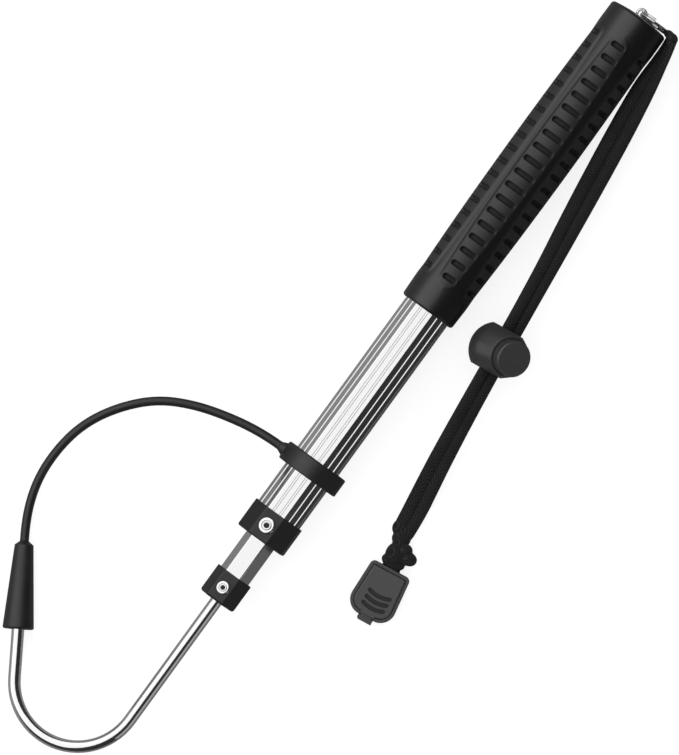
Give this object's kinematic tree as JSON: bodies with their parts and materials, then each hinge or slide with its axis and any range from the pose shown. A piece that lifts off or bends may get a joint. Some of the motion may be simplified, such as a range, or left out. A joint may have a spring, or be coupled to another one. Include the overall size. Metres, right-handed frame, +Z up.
{
  "type": "telescopic fishing gaff",
  "caption": "Telescopic fishing gaff with padded grip, collared pole sections, round steel hook, tethered rubber point cover and wrist lanyard with cord lock and end clip.",
  "frame": {"origin": "middle of the butt end on the pole axis, where the lanyard eye stands", "axes": "+X along the pole from the butt to the hook, +Y towards the lanyard, the hook opens towards -Y, +Z up from the surface the tool lies on"},
  "size_m": [0.4484, 0.1769, 0.0334],
  "materials": {
    "grip_rubber": "matte moulded rubber with raised cross-grooved panels",
    "tube_polished": "polished drawn tube with fine lengthwise lines",
    "black_plastic": "satin moulded",
    "rod_steel": "polished stainless",
    "rivet_steel": "bright plated blind rivet",
    "protector_rubber": "soft matte rubber",
    "cord_fabric": "flat woven polyester"
  },
  "bodies": {
    "handle": {"grip_sleeve": "grip_rubber", "outer_tube": "tube_polished", "butt_plug": "black_plastic", "lanyard_eye": "rod_steel", "split_ring": "rod_steel", "outer_collar": "black_plastic", "outer_rivet": "rivet_steel", "outer_rivet_mandrel": "rivet_steel", "lanyard_bight": "cord_fabric", "lanyard_strand_outer": "cord_fabric", "lanyard_strand_inner": "cord_fabric", "lanyard_knot": "cord_fabric", "clip_base": "black_plastic", "clip_hinge_web": "black_plastic"},
    "middle_section": {"middle_tube": "tube_polished", "middle_glide": "black_plastic", "middle_glide_ring": "protector_rubber", "inner_collar": "black_plastic", "inner_rivet": "rivet_steel", "inner_rivet_mandrel": "rivet_steel"},
    "hook_section": {"hook_rod": "rod_steel", "rod_glide": "black_plastic", "rod_pin": "rod_steel"},
    "protector": {"protector_ring": "protector_rubber", "protector_tether": "protector_rubber"},
    "point_cover": {"tip_cover": "protector_rubber"},
    "cord_lock": {"lock_body": "black_plastic", "lock_spring": "rod_steel"},
    "lock_plunger": {"lock_button": "black_plastic"},
    "clip_flap": {"clip_lid": "black_plastic"}
  },
  "joints": [
    {"name": "middle_slide", "type": "slide", "parent": "handle", "child": "middle_section", "axis": [1, 0, 0], "range_m": [0, 0.228]},
    {"name": "hook_slide", "type": "slide", "parent": "middle_section", "child": "hook_section", "axis": [1, 0, 0], "range_m": [0, 0.24]},
    {"name": "ring_slide", "type": "slide", "parent": "handle", "child": "protector", "axis": [-1, 0, 0], "range_m": [0, 0.078]},
    {"name": "cover_pull", "type": "slide", "parent": "protector", "child": "point_cover", "axis": [0, -0.9919, -0.1271], "range_m": [0, 0.04962], "deforming": ["protector_tether"]},
    {"name": "lock_slide", "type": "slide", "parent": "handle", "child": "cord_lock", "axis": [0.9934, 0.1149, 0], "range_m": [-0.026, 0.01]},
    {"name": "button_press", "type": "slide", "parent": "cord_lock", "child": "lock_plunger", "axis": [0.0575, -0.4967, -0.866], "range_m": [0, 0.0035], "stiffness_N_per_m": 900, "springref_m": -0.004, "deforming": ["lock_spring"]},
    {"name": "lid_hinge", "type": "hinge", "parent": "handle", "child": "clip_flap", "pos_m": [0.30528, 0.06169, -0.0101], "axis": [-0.1305, 0.9914, 0], "range_deg": [0, 100]}
  ],
  "couplings": [
    {"joint": "cover_pull", "follows": "ring_slide", "ratio": 0.62973}
  ]
}
